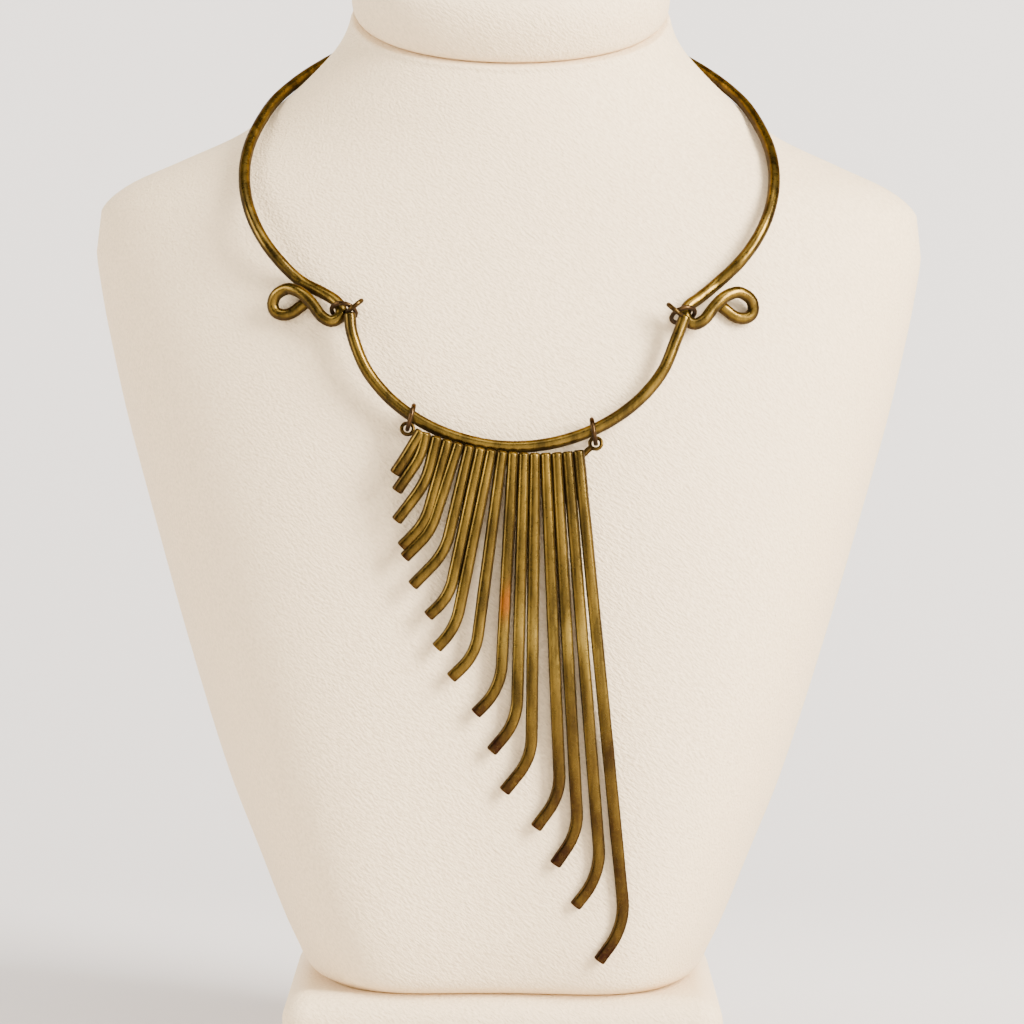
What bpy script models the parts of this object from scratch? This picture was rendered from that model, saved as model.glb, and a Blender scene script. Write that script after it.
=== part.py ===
"""Bib necklace of patinated brass wire and rods, on the padded neck bust that holds it.

Metres, +Z up. The front faces -Y. The origin is the centre of the base's underside.
"""
import math

import bmesh
import bpy
from mathutils import Vector
from mathutils.bvhtree import BVHTree

MM = 0.001
FORWARD = Vector((0, -1, 0))
BACK = -FORWARD
UP = Vector((0, 0, 1))

# Clearance between pieces that touch on the real thing
GAP = 0.3 * MM

# The base block under the form
BASE_WIDTH = 113 * MM
BASE_DEPTH = 104 * MM
BASE_HEIGHT = 28 * MM
BASE_ROUNDING = 7 * MM

# The padded form: its height runs to the middle of the neck's seam, its depths from its widest line
FORM_HEIGHT = 253 * MM
SHOULDER_WIDTH = 220 * MM
CHEST_DEPTH = 65.4 * MM
BACK_DEPTH = 34 * MM
WIDEST_LINE_Y = 13 * MM
FORM_SIDES = 44
NECK_TILT = math.radians(25)
CAP_THICKNESS = 18 * MM

# The collar's neck wire: its middle line is an oval from the front, flatter above its widest line than
# below, which ends in a hook on each side
WIRE = 2.8 * MM
COLLAR_WIDTH = 137.9 * MM
COLLAR_ABOVE_WIDEST = 42.5 * MM
COLLAR_BELOW_WIDEST = 45.4 * MM
NAPE_BELOW_SEAM = 16.1 * MM
NECK_STEPS = 16
BACK_EASE = 1.7
STRAND_END = math.radians(-39)
STRAND_LIFT = 0.2
HOOK_REACH = 9.6 * MM
HOOK_DROP = 7.3 * MM
HOOK_LENGTH = 17.8 * MM
HOOK_SHIFT = 1.3 * MM

# The front arc: a bow a little more pointed than an oval, whose ends flare out
ARC_DROP = 33 * MM
ARC_ROUNDNESS = 1.93
ARC_ENDS_INWARDS = (2.3 * MM, 0.3 * MM)
ARC_FLARES = (0.2 * MM, 1.4 * MM)
ARC_BELOW_HOOKS = 1.4 * MM
ARC_STANDOFF = 6.2 * MM
ARC_LIFT = 0.8
END_EYE_OUTER = 5.6 * MM
END_EYE_WIRE = 1.2 * MM
END_EYE_ANGLE = math.radians(38)

# Jump rings
RING_WIRE = 1.2 * MM
RING_OUTER = 7.5 * MM
BIB_RING_X = (-24.4 * MM, 21.9 * MM)
BIB_RING_LEAN = (math.radians(15), math.radians(10))
BIB_RING_SWING = math.radians(20)

# The bib of rods
ROD_COUNT = 16
ROD_PITCH = 2.77 * MM
ROD_TOP_WIDTH = 2.6 * MM
ROD_LOW_WIDTH = 3.3 * MM
ROD_LOW_THICKNESS = 1.8 * MM
ROD_SIDES = 10
ROD_END = 0.75
BEND_STEP = math.radians(9)
FLATTENING = 80 * MM
LONGEST_ROD = 131 * MM
FIRST_ROD_X = -23.4 * MM
FIRST_ROD_CROWDING = 1.5 * MM
TOP_LINE_X = 7 * MM
TOP_LINE_BELOW_ARC = 1.9 * MM
TOP_LINE_RADIUS = 76 * MM
BAR_DIAMETER = 1.6 * MM
BAR_BELOW_TOPS = 1.6 * MM
BIB_EYE_OUTER = 4 * MM
BIB_EYE_WIRE = 1.0 * MM
SOLDER = 0.25 * MM

# Heights that follow from the sizes above, from the neck's seam down to the rods
SEAM_Z = BASE_HEIGHT + GAP + FORM_HEIGHT
NAPE_Z = SEAM_Z + BACK_DEPTH * math.tan(NECK_TILT) - NAPE_BELOW_SEAM
COLLAR_WIDEST_Z = NAPE_Z - COLLAR_ABOVE_WIDEST
STRAND_END_X = COLLAR_WIDTH / 2 * math.cos(STRAND_END)
STRAND_END_Z = COLLAR_WIDEST_Z + COLLAR_BELOW_WIDEST * math.sin(STRAND_END)
HOOK_X = STRAND_END_X - HOOK_REACH
HOOK_Z = STRAND_END_Z - HOOK_DROP
ARC_TOP_Z = HOOK_Z - ARC_BELOW_HOOKS
TOP_LINE_Z = ARC_TOP_Z - ARC_DROP - TOP_LINE_BELOW_ARC

# Sections of the form, as shares of its height, half width, chest depth and back depth.
# Fullness above 0 squares a section towards its corners, and below 0 draws it in over the shoulders.
FORM_SECTIONS = (
    # height, width, chest, back, chest fullness, back fullness
    (0.000, 0.445, 0.915, 0.66, 0.70, 0.4),
    (0.008, 0.477, 0.960, 0.71, 0.70, 0.4),
    (0.028, 0.502, 0.985, 0.76, 0.69, 0.4),
    (0.058, 0.535, 1.000, 0.80, 0.67, 0.4),
    (0.117, 0.590, 0.998, 0.85, 0.64, 0.4),
    (0.206, 0.672, 0.985, 0.90, 0.58, 0.4),
    (0.345, 0.773, 0.958, 0.95, 0.48, 0.4),
    (0.484, 0.864, 0.920, 0.98, 0.35, 0.4),
    (0.573, 0.920, 0.882, 1.00, 0.20, 0.4),
    (0.643, 0.957, 0.835, 1.00, 0.10, 0.4),
    (0.702, 0.984, 0.770, 0.99, 0.00, 0.3),
    (0.757, 1.000, 0.710, 0.98, -0.12, 0.2),
    (0.792, 0.985, 0.675, 0.97, -0.20, 0.1),
    (0.817, 0.920, 0.650, 0.96, -0.25, 0.0),
    (0.841, 0.800, 0.625, 0.945, -0.27, -0.1),
    (0.871, 0.651, 0.595, 0.93, -0.25, -0.1),
    (0.906, 0.547, 0.557, 0.92, -0.15, -0.05),
    (0.941, 0.462, 0.510, 0.92, -0.02, 0.0),
    (0.970, 0.408, 0.470, 0.94, 0.00, 0.0),
    (1.000, 0.384, 0.440, 0.97, 0.00, 0.0),
    (1.090, 0.365, 0.420, 1.00, 0.00, 0.0),
)

# Side outline of the padded cap, as shares of its thickness and of the neck's outline
CAP_PROFILE = (
    # rise, width
    (0.00, 0.945),
    (0.05, 0.975),
    (0.20, 0.995),
    (0.50, 0.995),
    (0.78, 0.960),
    (0.93, 0.890),
    (1.00, 0.770),
    (1.03, 0.350),
)

# A hook from its strand round the turn, back up the tail and round the curl to the tip. The shares are
# of the hook's length, measured out and up from the turn, and the lift off the form is in wire widths.
HOOK_ROUTE = (
    # out, up, lift
    (0.204, 0.199, 0.45),
    (0.061, 0.100, 0.58),
    (0.000, -0.005, 0.66),
    (0.028, -0.116, 0.74),
    (0.144, -0.171, 0.85),
    (0.287, -0.094, 1.02),
    (0.414, 0.072, 1.18),
    (0.547, 0.204, 1.26),
    (0.674, 0.271, 1.18),
    (0.800, 0.287, 0.98),
    (0.945, 0.204, 0.70),
    (1.000, 0.077, 0.42),
    (0.967, -0.039, 0.20),
    (0.856, -0.088, 0.10),
    (0.729, -0.061, 0.00),
    (0.613, 0.022, 0.00),
    (0.541, 0.077, 0.00),
)

# The middle of the opening inside a hook's turn, in the same shares
HOOK_OPENING = (0.150, 0.011, 0.55)

# The joint on the left and the right, inwards, forwards and up in shares of the jump ring's width: the
# middle of the ring from the hook's opening, the ring's axis, and the middle of the arc's eye from its end
JOINTS = {
    -1: ((0.444, 0.191, -0.096), (0.26, -0.91, 1.0), (0.160, -0.107, 0.317)),
    1: ((0.428, 0.256, -0.125), (0.39, -0.72, 1.0), (0.315, -0.003, 0.259)),
}

# Rods from the shortest to the longest: the angle of the straight part and of the tip, towards the
# wearer's right of straight down, and the lengths of both and the bend's radius as shares of the longest
RODS = (
    # lean, turned, straight, tip, bend
    (31.0, 33, 0.063, 0.026, 0.08),
    (12.8, 34, 0.019, 0.055, 0.13),
    (13.0, 37, 0.051, 0.056, 0.17),
    (15.0, 44, 0.133, 0.033, 0.115),
    (17.5, 44, 0.149, 0.042, 0.115),
    (12.6, 44, 0.172, 0.051, 0.13),
    (11.5, 46, 0.256, 0.021, 0.107),
    (11.0, 44, 0.311, 0.011, 0.13),
    (7.1, 46, 0.356, 0.025, 0.107),
    (2.6, 45, 0.408, 0.018, 0.122),
    (1.1, 40, 0.474, 0.030, 0.122),
    (0.2, 39, 0.547, 0.040, 0.115),
    (-2.9, 36, 0.618, 0.037, 0.115),
    (-3.7, 34, 0.692, 0.037, 0.115),
    (-5.0, 38, 0.763, 0.024, 0.137),
    (-6.1, 36, 0.869, 0.031, 0.137),
)


def clear_scene():
    for old in list(bpy.data.objects):
        bpy.data.objects.remove(old, do_unlink=True)


def new_collection(name):
    collection = bpy.data.collections.new(name)
    bpy.context.scene.collection.children.link(collection)
    return collection


def finish(name, color, roughness, metallic):
    material = bpy.data.materials.new(name)
    material.use_nodes = True
    shader = material.node_tree.nodes["Principled BSDF"]
    shader.inputs["Base Color"].default_value = (*color, 1)
    shader.inputs["Roughness"].default_value = roughness
    shader.inputs["Metallic"].default_value = metallic
    return material


def brass(name):
    return finish(name, (0.42, 0.27, 0.07), 0.38, 1.0)


def bronze(name):
    return finish(name, (0.17, 0.11, 0.05), 0.35, 1.0)


def leatherette(name):
    return finish(name, (0.80, 0.73, 0.64), 0.6, 0.0)


def smooth_path(points, step):
    """Catmull-Rom curve through the points, with no span longer than the step."""
    ends = [2 * points[0] - points[1], *points, 2 * points[-1] - points[-2]]
    path = [points[0]]
    for a, b, c, d in zip(ends, ends[1:], ends[2:], ends[3:]):
        pieces = max(2, math.ceil((c - b).length / step))
        for i in range(1, pieces + 1):
            t = i / pieces
            path.append(0.5 * (2 * b + (c - a) * t + (2 * a - 5 * b + 4 * c - d) * t**2
                               + (3 * b - a - 3 * c + d) * t**3))
    return path


def section_at(height):
    """The form's section at a height, read from a smooth curve through the table."""
    rows = FORM_SECTIONS
    upper = next(i for i, row in enumerate(rows) if i and (height <= row[0] or i == len(rows) - 1))
    low, high = rows[upper - 1], rows[upper]
    span = high[0] - low[0]
    t = (height - low[0]) / span
    values = []
    for column in range(1, len(low)):
        slopes = []
        for i in (upper - 1, upper):
            before, after = rows[max(i - 1, 0)], rows[min(i + 1, len(rows) - 1)]
            slopes.append((after[column] - before[column]) / (after[0] - before[0]) * span)
        start, end = low[column], high[column]
        values.append(start + slopes[0] * t + (3 * (end - start) - 2 * slopes[0] - slopes[1]) * t**2
                      + (2 * (start - end) + slopes[0] + slopes[1]) * t**3)
    return values


def section_ring(height):
    """Points round the form at a share of its height, from the middle of the chest."""
    width, chest, back, chest_fullness, back_fullness = section_at(height)
    ring = []
    for i in range(FORM_SIDES):
        turn = 2 * math.pi * i / FORM_SIDES
        side = math.sin(turn)
        ahead = math.cos(turn)
        depth = chest * CHEST_DEPTH if ahead > 0 else back * BACK_DEPTH
        fullness = chest_fullness if ahead > 0 else back_fullness
        ring.append(Vector((width * SHOULDER_WIDTH / 2 * side,
                            WIDEST_LINE_Y - depth * ahead * (1 + fullness * side**2),
                            BASE_HEIGHT + GAP + height * FORM_HEIGHT)))
    return ring


def loft(mesh, rings):
    """Closed skin over rings of points, with a flat face at each end."""
    loops = [[mesh.verts.new(point) for point in ring] for ring in rings]
    for lower, upper in zip(loops, loops[1:]):
        for i in range(len(lower)):
            j = (i + 1) % len(lower)
            mesh.faces.new((lower[i], lower[j], upper[j], upper[i]))
    mesh.faces.new(reversed(loops[0]))
    mesh.faces.new(loops[-1])
    bmesh.ops.recalc_face_normals(mesh, faces=mesh.faces)


def link_mesh(mesh, name, collection, material):
    data = bpy.data.meshes.new(name)
    mesh.to_mesh(data)
    mesh.free()
    piece = bpy.data.objects.new(name, data)
    collection.objects.link(piece)
    data.materials.append(material)
    data.shade_smooth()
    data.set_sharp_from_angle(angle=math.radians(40))
    return piece


def seam_normal():
    return Vector((0, -math.sin(NECK_TILT), math.cos(NECK_TILT)))


def make_form(collection):
    """Padded neck and chest, cut on the slant at the neck. Also gives the outline of that cut."""
    heights = []
    for low, high in zip(FORM_SECTIONS, FORM_SECTIONS[1:]):
        heights += [low[0], (low[0] + high[0]) / 2]
    heights.append(FORM_SECTIONS[-1][0])
    mesh = bmesh.new()
    loft(mesh, [section_ring(height) for height in heights])
    bmesh.ops.bisect_plane(mesh, geom=mesh.verts[:] + mesh.edges[:] + mesh.faces[:], clear_outer=True,
                           plane_co=Vector((0, WIDEST_LINE_Y, SEAM_Z)), plane_no=seam_normal())
    rim = [edge for edge in mesh.edges if edge.is_boundary]
    outline = [vert.co.copy() for vert in {vert for edge in rim for vert in edge.verts}]
    outline.sort(key=lambda point: math.atan2(point.x, WIDEST_LINE_Y - point.y))
    bmesh.ops.contextual_create(mesh, geom=rim)
    bmesh.ops.recalc_face_normals(mesh, faces=mesh.faces)
    surface = BVHTree.FromBMesh(mesh)
    return link_mesh(mesh, "bust_form", collection, leatherette("form_leatherette")), outline, surface


def make_cap(collection, outline):
    middle = sum(outline, Vector()) / len(outline)
    rings = []
    for rise, width in CAP_PROFILE:
        lift = seam_normal() * (GAP + rise * CAP_THICKNESS)
        rings.append([middle + (point - middle) * width + lift for point in outline])
    mesh = bmesh.new()
    loft(mesh, rings)
    return link_mesh(mesh, "neck_cap", collection, leatherette("cap_leatherette"))


def make_base(collection):
    mesh = bmesh.new()
    bmesh.ops.create_cube(mesh, size=1)
    bmesh.ops.scale(mesh, vec=(BASE_WIDTH, BASE_DEPTH, BASE_HEIGHT), verts=mesh.verts)
    bmesh.ops.translate(mesh, vec=UP * BASE_HEIGHT / 2, verts=mesh.verts)
    rounded = [edge for edge in mesh.edges if any(vert.co.z > BASE_HEIGHT / 2 for vert in edge.verts)]
    bmesh.ops.bevel(mesh, geom=rounded, offset=BASE_ROUNDING, segments=4, profile=0.5, affect="EDGES")
    return link_mesh(mesh, "base_block", collection, leatherette("base_leatherette"))


def rest_on_form(surface, point, clearance):
    """The point, moved straight out from the form where it is nearer than the clearance."""
    for _ in range(3):
        nearest, normal, _, _ = surface.find_nearest(point)
        height = (point - nearest).dot(normal)
        if height < clearance:
            point = point + normal * (clearance - height)
    return point


def chest_y(surface, x, z):
    """Depth of the form's front at a place in the front view."""
    hit, _, _, _ = surface.ray_cast(Vector((x, -2 * CHEST_DEPTH, z)), -FORWARD)
    return hit.y


def wire_lift(surface, x, z, lift):
    """A wire's centre at a place in the front view, lying on the form or lifted off it in wire widths."""
    start = Vector((x, chest_y(surface, x, z), z))
    clearance = WIRE / 2 + GAP + lift * WIRE
    _, normal, _, _ = surface.find_nearest(start)
    return start + FORWARD * clearance / max(normal.dot(FORWARD), 0.5)


def hook_point(surface, side, row):
    out, up, lift = row
    x = side * (HOOK_X + out * HOOK_LENGTH) + HOOK_SHIFT
    return wire_lift(surface, x, HOOK_Z + up * HOOK_LENGTH, lift)


def neck_wire_half(surface, side):
    """Points of one half of the neck wire from beside the nape to the hook's tip, and the nape's point."""
    start = wire_lift(surface, side * STRAND_END_X, STRAND_END_Z, STRAND_LIFT)
    nape, _, _, _ = surface.ray_cast(Vector((0, 2 * CHEST_DEPTH, NAPE_Z)), FORWARD)
    nape += BACK * (WIRE / 2 + GAP)
    points = []
    for i in range(1, NECK_STEPS):
        turn = math.pi / 2 + (STRAND_END - math.pi / 2) * i / NECK_STEPS
        rise = math.sin(turn) * (COLLAR_ABOVE_WIDEST if turn > 0 else COLLAR_BELOW_WIDEST)
        z = COLLAR_WIDEST_Z + rise
        back = ((z - start.z) / (nape.z - start.z))**BACK_EASE
        point = Vector((side * COLLAR_WIDTH / 2 * math.cos(turn), start.y + back * (nape.y - start.y), z))
        points.append(rest_on_form(surface, point, WIRE / 2 + 1.5 * GAP))
    hook = [hook_point(surface, side, row) for row in HOOK_ROUTE]
    return [*points, start, *hook], nape


def make_tube(name, collection, points, width, material, closed=False):
    """Round wire through the points, its ends filled and slightly rounded."""
    curve = bpy.data.curves.new(name, "CURVE")
    curve.dimensions = "3D"
    curve.bevel_depth = width / 2
    curve.bevel_resolution = 2
    curve.use_fill_caps = True
    curve.materials.append(material)
    spline = curve.splines.new("POLY")
    spline.points.add(len(points) - 1)
    spline.use_cyclic_u = closed
    for slot, point in zip(spline.points, points):
        slot.co = (*point, 1)
    if not closed:
        spline.points[0].radius = spline.points[-1].radius = 0.7
    piece = bpy.data.objects.new(name, curve)
    collection.objects.link(piece)
    return piece


def rounded_ends(points, width):
    """The path with a short step added at each end, for the wire's rounded tips."""
    start = points[0] + (points[0] - points[1]).normalized() * width * 0.2
    end = points[-1] + (points[-1] - points[-2]).normalized() * width * 0.2
    return [start, *points, end]


def as_mesh(piece, collection, material):
    """A wire turned into a closed mesh, so that it can be joined to another piece."""
    name = piece.name
    depsgraph = bpy.context.evaluated_depsgraph_get()
    data = bpy.data.meshes.new_from_object(piece.evaluated_get(depsgraph))
    place = piece.matrix_world.copy()
    bpy.data.objects.remove(piece, do_unlink=True)
    mesh = bmesh.new()
    mesh.from_mesh(data)
    bmesh.ops.remove_doubles(mesh, verts=mesh.verts, dist=0.00001)
    bmesh.ops.recalc_face_normals(mesh, faces=mesh.faces)
    piece = link_mesh(mesh, name, collection, material)
    piece.matrix_world = place
    return piece


def make_ring(name, collection, centre, axis, outer, wire, material):
    bpy.ops.mesh.primitive_torus_add(major_segments=16, minor_segments=6,
                                     major_radius=(outer - wire) / 2, minor_radius=wire / 2,
                                     location=centre, rotation=axis.to_track_quat("Z", "Y").to_euler())
    ring = bpy.context.object
    ring.name = name
    for other in list(ring.users_collection):
        other.objects.unlink(ring)
    collection.objects.link(ring)
    ring.data.materials.append(material)
    ring.data.shade_smooth()
    return ring


def join_to(piece, helpers):
    """Solders a collection of hidden helper pieces to the piece."""
    for helper in helpers.objects:
        helper.hide_render = True
        helper.display_type = "WIRE"
    union = piece.modifiers.new("soldered", "BOOLEAN")
    union.operation = "UNION"
    union.operand_type = "COLLECTION"
    union.collection = helpers
    union.solver = "EXACT"


def arc_route(surface):
    """The front arc as one flat bow, resting on the chest at its lowest and standing off at its ends."""
    left, right = (side * (HOOK_X - shift) + HOOK_SHIFT for side, shift in zip((-1, 1), ARC_ENDS_INWARDS))
    widest_left, widest_right = left + ARC_FLARES[0], right - ARC_FLARES[1]
    middle, half = (widest_left + widest_right) / 2, (widest_right - widest_left) / 2
    low_y = wire_lift(surface, middle, ARC_TOP_Z - ARC_DROP, ARC_LIFT).y
    top_y = min(chest_y(surface, x, ARC_TOP_Z) for x in (left, right)) - ARC_STANDOFF
    places = [(left, 0)]
    for turn in range(-80, 81, 16):
        side, down = math.sin(math.radians(turn)), math.cos(math.radians(turn))
        places.append((middle + half * math.copysign(abs(side)**(2 / ARC_ROUNDNESS), side),
                       down**(2 / ARC_ROUNDNESS)))
    places.append((right, 0))
    points = [Vector((x, top_y + down * (low_y - top_y), ARC_TOP_Z - down * ARC_DROP)) for x, down in places]
    return [rest_on_form(surface, point, WIRE / 2 + GAP) for point in smooth_path(points, 1.8 * WIRE)]


def inwards(side, row):
    """A row of the joint's table as a vector on one side of the collar."""
    return Vector((-side * row[0], -row[1], row[2])) * RING_OUTER


def make_arc(collection, route):
    material = brass("arc_brass")
    eyes = new_collection("front_arc_eyes")
    arc = make_tube("front_arc", collection, rounded_ends(route, WIRE), WIRE, material)
    arc = as_mesh(arc, collection, material)
    for side, end in ((-1, route[0]), (1, route[-1])):
        axis = Vector((side * math.sin(END_EYE_ANGLE), 0, math.cos(END_EYE_ANGLE)))
        name = "end_eye_left" if side < 0 else "end_eye_right"
        centre = end + inwards(side, JOINTS[side][2])
        make_ring(name, eyes, centre, axis, END_EYE_OUTER, END_EYE_WIRE, material)
    join_to(arc, eyes)
    return arc


def make_hook_ring(name, collection, surface, side):
    """Jump ring through the opening of a hook's turn and the eye on the arc's end."""
    offset, axis, _ = JOINTS[side]
    centre = hook_point(surface, side, HOOK_OPENING) + inwards(side, offset)
    make_ring(name, collection, centre, inwards(side, axis), RING_OUTER, RING_WIRE, bronze(name + "_bronze"))


def point_at_x(route, x):
    """The route's point below a place across the chest."""
    a, b = next((a, b) for a, b in zip(route, route[1:]) if a.x <= x <= b.x)
    return a.lerp(b, (x - a.x) / (b.x - a.x))


def hang_ring(arc, x, lean):
    """A jump ring pushed forward on the arc by the chest: its centre, axis, lowest point and run there."""
    down = Vector((math.copysign(math.sin(lean), x), 0, -math.cos(lean)))
    slack = (RING_OUTER - WIRE) / 2 - RING_WIRE - 1.6 * GAP
    centre = point_at_x(arc, x) + (down + FORWARD).normalized() * slack
    swung = down * math.cos(BIB_RING_SWING) + FORWARD * math.sin(BIB_RING_SWING)
    axis = down.cross(FORWARD).normalized()
    return centre, axis, centre + swung * (RING_OUTER - RING_WIRE) / 2, axis.cross(swung)


def rod_x(number):
    """Where a rod hangs on the bar. The first one is crowded against the second."""
    return FIRST_ROD_X + number * ROD_PITCH + (0 if number else FIRST_ROD_CROWDING)


def rod_top(x):
    """Height of the rods' tops, on a shallow bow under the arc."""
    return TOP_LINE_Z + (x - TOP_LINE_X)**2 / (2 * TOP_LINE_RADIUS)


def rod_size(run):
    """Width and thickness of a rod at a distance from its top: round there, hammered flatter below."""
    share = min(1, run / FLATTENING)
    return (ROD_TOP_WIDTH + share * (ROD_LOW_WIDTH - ROD_TOP_WIDTH),
            ROD_TOP_WIDTH + share * (ROD_LOW_THICKNESS - ROD_TOP_WIDTH))


def rod_path(number):
    """A rod's middle line in the front view as places, headings and distances from its top."""
    lean, turned, straight, tip, bend = RODS[number]
    lean, turned = math.radians(lean), math.radians(turned)
    x = rod_x(number)
    place = Vector((x, 0, rod_top(x)))
    path = [(place, lean, 0)]
    steps = [(straight * LONGEST_ROD / 2, lean)] * 2
    turns = max(1, round(abs(turned - lean) / BEND_STEP))
    for i in range(turns):
        heading = lean + (turned - lean) * (i + 0.5) / turns
        steps.append((bend * LONGEST_ROD * abs(turned - lean) / turns, heading))
    steps.append((tip * LONGEST_ROD, turned))
    run = 0
    for i, (length, heading) in enumerate(steps):
        place = place + Vector((-math.sin(heading), 0, -math.cos(heading))) * length
        run += length
        following = steps[min(i + 1, len(steps) - 1)][1]
        path.append((place, (heading + following) / 2, run))
    return path


def make_rod(number, collection, rod_y, material):
    rings = []
    path = rod_path(number)
    first, last = path[0], path[-1]
    ease = 0.2 * ROD_TOP_WIDTH
    along = Vector((-math.sin(last[1]), 0, -math.cos(last[1])))
    shares = [ROD_END] + [1] * len(path) + [ROD_END]
    path = [(first[0] + UP * ease, *first[1:]), *path, (last[0] + along * ease, *last[1:])]
    for (place, heading, run), share in zip(path, shares):
        width, thickness = rod_size(run)
        across = Vector((math.cos(heading), 0, -math.sin(heading)))
        ring = []
        for i in range(ROD_SIDES):
            turn = 2 * math.pi * (i + 0.5) / ROD_SIDES
            ring.append(place + across * share * width / 2 * math.cos(turn)
                        + FORWARD * share * thickness / 2 * math.sin(turn)
                        + BACK * rod_y(place.z))
        rings.append(ring)
    mesh = bmesh.new()
    loft(mesh, rings)
    return link_mesh(mesh, f"rod_{number + 1}", collection, material)


def make_bib(collection, surface, lows):
    """The rods soldered side by side to a bar behind them, with an eye at each end for its ring."""
    material = brass("bib_brass")
    helpers = new_collection("bib_rods_and_eyes")
    bar_y = min(low.y for low, _ in lows)
    top_y = bar_y - (BAR_DIAMETER + ROD_TOP_WIDTH) / 2 + SOLDER
    slopes = [0]
    for i in range(1, 26):
        run = LONGEST_ROD * i / 26
        front = min(chest_y(surface, x, TOP_LINE_Z - run) for x in (FIRST_ROD_X, 0, -FIRST_ROD_X))
        allowed = front - GAP - rod_size(run)[1] / 2
        slopes.append((top_y - allowed) / run)
    slope = max(slopes)

    def rod_y(z):
        return top_y - slope * (TOP_LINE_Z - z)

    bar = []
    for i in range(ROD_COUNT):
        x = rod_x(i)
        bar.append(Vector((x, bar_y, rod_top(x) - BAR_BELOW_TOPS)))
        make_rod(i, helpers, rod_y, material)
    necks = []
    loop = (BIB_EYE_OUTER - BIB_EYE_WIRE) / 2
    for name, end, (low, run) in zip(("bib_eye_left", "bib_eye_right"), (bar[0], bar[-1]), lows):
        make_ring(name, helpers, low, run, BIB_EYE_OUTER, BIB_EYE_WIRE, material)
        necks.append(low + (end - low).normalized() * loop)
    bar = [necks[0], *bar, necks[1]]
    bib = as_mesh(make_tube("bib", collection, bar, BAR_DIAMETER, material), collection, material)
    join_to(bib, helpers)


def main():
    clear_scene()
    parts = new_collection("bib_necklace_on_bust")
    _, outline, surface = make_form(parts)
    make_cap(parts, outline)
    make_base(parts)

    left, nape = neck_wire_half(surface, -1)
    right, _ = neck_wire_half(surface, 1)
    route = smooth_path([*reversed(left), nape, *right], 2.2 * WIRE)
    make_tube("neck_wire", parts, rounded_ends(route, WIRE), WIRE, brass("neck_brass"))

    arc = arc_route(surface)
    make_arc(parts, arc)
    make_hook_ring("hook_ring_left", parts, surface, -1)
    make_hook_ring("hook_ring_right", parts, surface, 1)

    lows = []
    for name, x, lean in zip(("bib_ring_left", "bib_ring_right"), BIB_RING_X, BIB_RING_LEAN):
        centre, axis, low, run = hang_ring(arc, x, lean)
        make_ring(name, parts, centre, axis, RING_OUTER, RING_WIRE, bronze(name + "_bronze"))
        lows.append((low, run))
    make_bib(parts, surface, lows)


main()
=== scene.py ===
"""Looks of a bib necklace of patinated brass wire and rods on its padded neck bust.

Metres, +Z up, the front faces -Y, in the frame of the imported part.
"""
import math

import bmesh
import bpy
from mathutils import Matrix, Vector, noise
from mathutils.bvhtree import BVHTree


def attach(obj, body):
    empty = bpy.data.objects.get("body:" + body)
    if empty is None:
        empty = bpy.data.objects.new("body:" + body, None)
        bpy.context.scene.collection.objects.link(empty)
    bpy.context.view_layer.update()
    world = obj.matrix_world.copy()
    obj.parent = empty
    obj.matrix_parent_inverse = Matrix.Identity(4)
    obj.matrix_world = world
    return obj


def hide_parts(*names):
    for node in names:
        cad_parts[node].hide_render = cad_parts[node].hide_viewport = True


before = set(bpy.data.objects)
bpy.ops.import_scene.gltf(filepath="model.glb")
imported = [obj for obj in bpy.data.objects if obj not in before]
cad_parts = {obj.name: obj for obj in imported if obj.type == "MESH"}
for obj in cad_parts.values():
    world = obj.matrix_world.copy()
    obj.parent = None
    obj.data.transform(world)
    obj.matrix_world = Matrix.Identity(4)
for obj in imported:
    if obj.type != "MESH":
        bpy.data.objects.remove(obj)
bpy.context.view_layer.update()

MM = 0.001
FORWARD = Vector((0, -1, 0))
BACK = -FORWARD
UP = Vector((0, 0, 1))
GAP = 0.3 * MM

# Camera at the photograph's viewing angle
CAMERA_PLACE = Vector((1.4, -1205.8, 214.6)) * MM
CAMERA_TILT = math.radians(3.11)
CAMERA_ROLL = math.radians(0.45)
CAMERA_LENS = 160.35
CAMERA_SENSOR = 36

# Sizes of the bust, as the solids have them
BASE_WIDTH = 113 * MM
BASE_DEPTH = 104 * MM
BASE_HEIGHT = 28 * MM
BASE_ROUNDING = 7 * MM
FORM_HEIGHT = 253 * MM
SHOULDER_WIDTH = 220 * MM
CHEST_DEPTH = 65.4 * MM
BACK_DEPTH = 34 * MM
WIDEST_LINE_Y = 13 * MM
NECK_TILT = math.radians(25)
CAP_THICKNESS = 18 * MM

# Where a highlight is painted across the long rods, and the one rod that shows copper
BAND_Z = 121 * MM
BAND_SLOPE = 0.5 * MM
BAND_WIDTH = 8 * MM
COPPER_ROD = 9
COPPER_Z = 129 * MM

# The collar's wire as drawn, with its patina
DRAWN_WIRE = 3.1 * MM

# The rods as drawn: their width at the top and low down in shares of the solids', how much their tops widen
# behind so that their dark flanks fill the gaps between rods as painted shade, their sides and the rounding
# of their ends
DRAWN_ROD_TOP = 1.05
DRAWN_ROD_LOW = 0.95
GAP_SHADE_FLARE = 0.17
ROD_SIDES = 24
TIP_ROUNDING = 0.55 * MM

# How much darker the eyes and the bar are drawn, and how much metal shows on a flank darkened with painted
# shade
DARK_FITTINGS = 0.6
SHADED_FLANK_METAL = 0.18

# How finely the bust is drawn
FORM_COLUMNS = 168
SPREAD = 0.18
TOP_ROWS_START = 0.79
SEAM_ROUNDING = 1.1 * MM

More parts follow.
